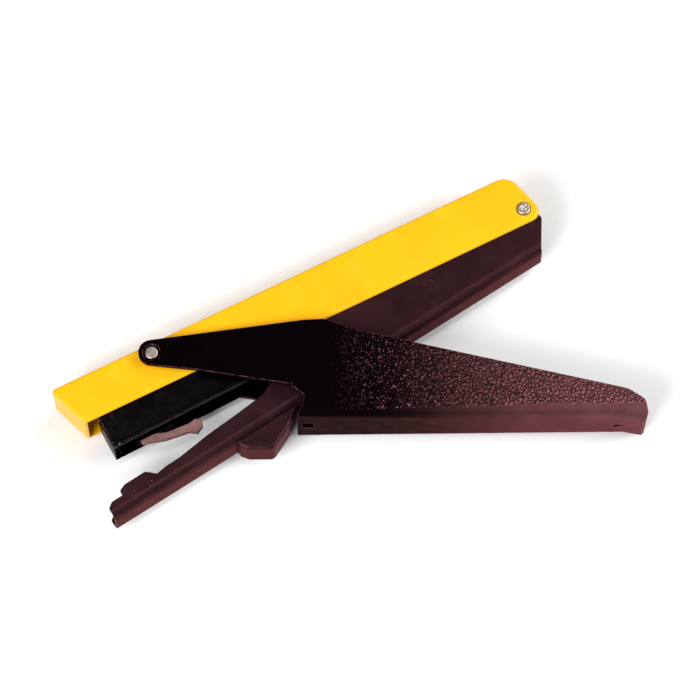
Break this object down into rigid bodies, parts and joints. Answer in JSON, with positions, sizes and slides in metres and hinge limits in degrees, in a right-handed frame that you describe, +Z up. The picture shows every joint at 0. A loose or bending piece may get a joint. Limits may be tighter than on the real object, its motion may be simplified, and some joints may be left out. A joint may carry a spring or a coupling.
{
  "type": "stapling plier",
  "caption": "Plier-type stapler lying on its side: yellow cover, black magazine and anvil arm on one rear pivot, crinkle-black lever handle.",
  "frame": {"origin": "middle of the tool's outline, on the surface that it lies on", "axes": "+X along the cover towards its rear pivot, +Y from the anvil arm towards the cover's top, +Z up, across the tool's width"},
  "size_m": [0.2211, 0.1248, 0.0284],
  "materials": {
    "yellow_paint": "smooth gloss yellow enamel",
    "black_gloss": "gloss black enamel",
    "black_satin": "satin black enamel with a warm cast",
    "black_crinkle": "black crinkle enamel with a leather-like grain",
    "hard_steel": "ground steel",
    "pin_steel": "bright zinc-plated steel",
    "spring_steel": "oiled spring steel",
    "latch_steel": "plated steel, dulled",
    "staple_wire": "bright galvanised wire"
  },
  "bodies": {
    "cover": {"cover": "yellow_paint", "driver_blade": "hard_steel", "driver_holder": "hard_steel", "driver_rivets": "pin_steel", "front_pivot_pin": "pin_steel", "pivot_washers": "pin_steel", "rear_sleeve": "pin_steel", "rear_screw": "pin_steel", "rear_nut": "pin_steel", "lift_spring": "spring_steel", "arm_spring": "spring_steel"},
    "magazine": {"magazine_channel": "black_gloss", "magazine_nose": "black_gloss", "staple_rail": "hard_steel", "staple_strip": "staple_wire", "spring_stop": "hard_steel", "pusher_rod": "pin_steel", "pusher_spring": "spring_steel", "latch_pin": "pin_steel", "latch_spring": "spring_steel"},
    "pusher": {"pusher": "hard_steel"},
    "latch": {"latch_lever": "latch_steel"},
    "anvil_arm": {"anvil_arm": "black_satin", "anvil_block": "black_satin", "anvil_plate": "hard_steel", "anvil_rivets": "black_satin", "heel_block": "black_satin", "heel_rivets": "pin_steel"},
    "handle": {"handle": "black_crinkle", "roller_pin": "pin_steel"},
    "roller": {"handle_roller": "hard_steel"}
  },
  "joints": [
    {"name": "handle_pivot", "type": "hinge", "parent": "cover", "child": "handle", "pos_m": [-0.06551, 0.0569, 0.0142], "axis": [0, 0, 1], "range_deg": [0, 13.5], "stiffness_Nm_per_rad": 1.2, "springref_deg": -14.32},
    {"name": "anvil_arm_pivot", "type": "hinge", "parent": "cover", "child": "anvil_arm", "pos_m": [0.10459, 0.0449, 0.0142], "axis": [0, 0, 1], "range_deg": [-6.35, 0], "deforming": ["arm_spring"]},
    {"name": "magazine_pivot", "type": "hinge", "parent": "cover", "child": "magazine", "pos_m": [0.10459, 0.0449, 0.0142], "axis": [0, 0, 1], "range_deg": [-2.1, 0], "deforming": ["lift_spring"]},
    {"name": "pusher_slide", "type": "slide", "parent": "magazine", "child": "pusher", "axis": [0.9997, 0.0262, 0], "range_m": [0, 0.09], "stiffness_N_per_m": 30, "springref_m": -0.1, "deforming": ["pusher_spring"]},
    {"name": "latch_pivot", "type": "hinge", "parent": "magazine", "child": "latch", "pos_m": [-0.08361, 0.03077, 0.0142], "axis": [0, 0, 1], "range_deg": [0, 4], "stiffness_Nm_per_rad": 0.05, "springref_deg": -11.46, "deforming": ["latch_spring"]},
    {"name": "roller_spin", "type": "hinge", "parent": "handle", "child": "roller", "pos_m": [-0.01387, 0.00791, 0.0142], "axis": [0, 0, 1], "continuous": true}
  ],
  "couplings": [
    {"joint": "anvil_arm_pivot", "follows": "handle_pivot", "ratio": -0.47037},
    {"joint": "magazine_pivot", "follows": "handle_pivot", "ratio": -0.15555}
  ]
}
